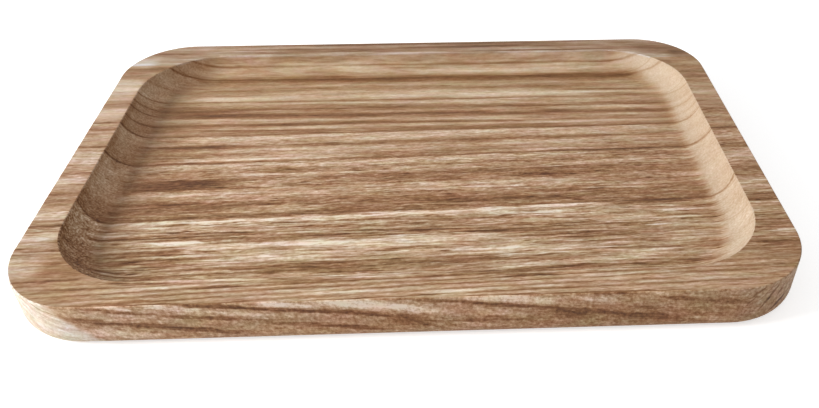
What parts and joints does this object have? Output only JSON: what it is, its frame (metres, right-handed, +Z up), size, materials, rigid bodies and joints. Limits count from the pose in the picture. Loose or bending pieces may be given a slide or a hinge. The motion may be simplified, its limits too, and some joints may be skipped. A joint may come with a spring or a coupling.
{
  "type": "wooden tray",
  "caption": "Rectangular wooden tray with rounded corners, a flat rim and a shallow carved recess with coved walls, made of staves glued edge to edge.",
  "frame": {"origin": "middle of the underside, which is the face that the tray rests on", "axes": "+X along the grain and the length, +Y from front to back across the staves, +Z up out of the recess"},
  "size_m": [0.3, 0.2, 0.02],
  "materials": {
    "streaked_wood": "satin oiled",
    "mottled_wood": "satin oiled",
    "striped_wood": "satin oiled"
  },
  "bodies": {
    "root": {"front_rim_stave": "streaked_wood", "floor_stave_1": "streaked_wood", "floor_stave_2": "streaked_wood", "floor_stave_3": "mottled_wood", "floor_stave_4": "mottled_wood", "floor_stave_5": "striped_wood", "floor_stave_6": "striped_wood", "back_rim_stave": "striped_wood"}
  },
  "joints": []
}
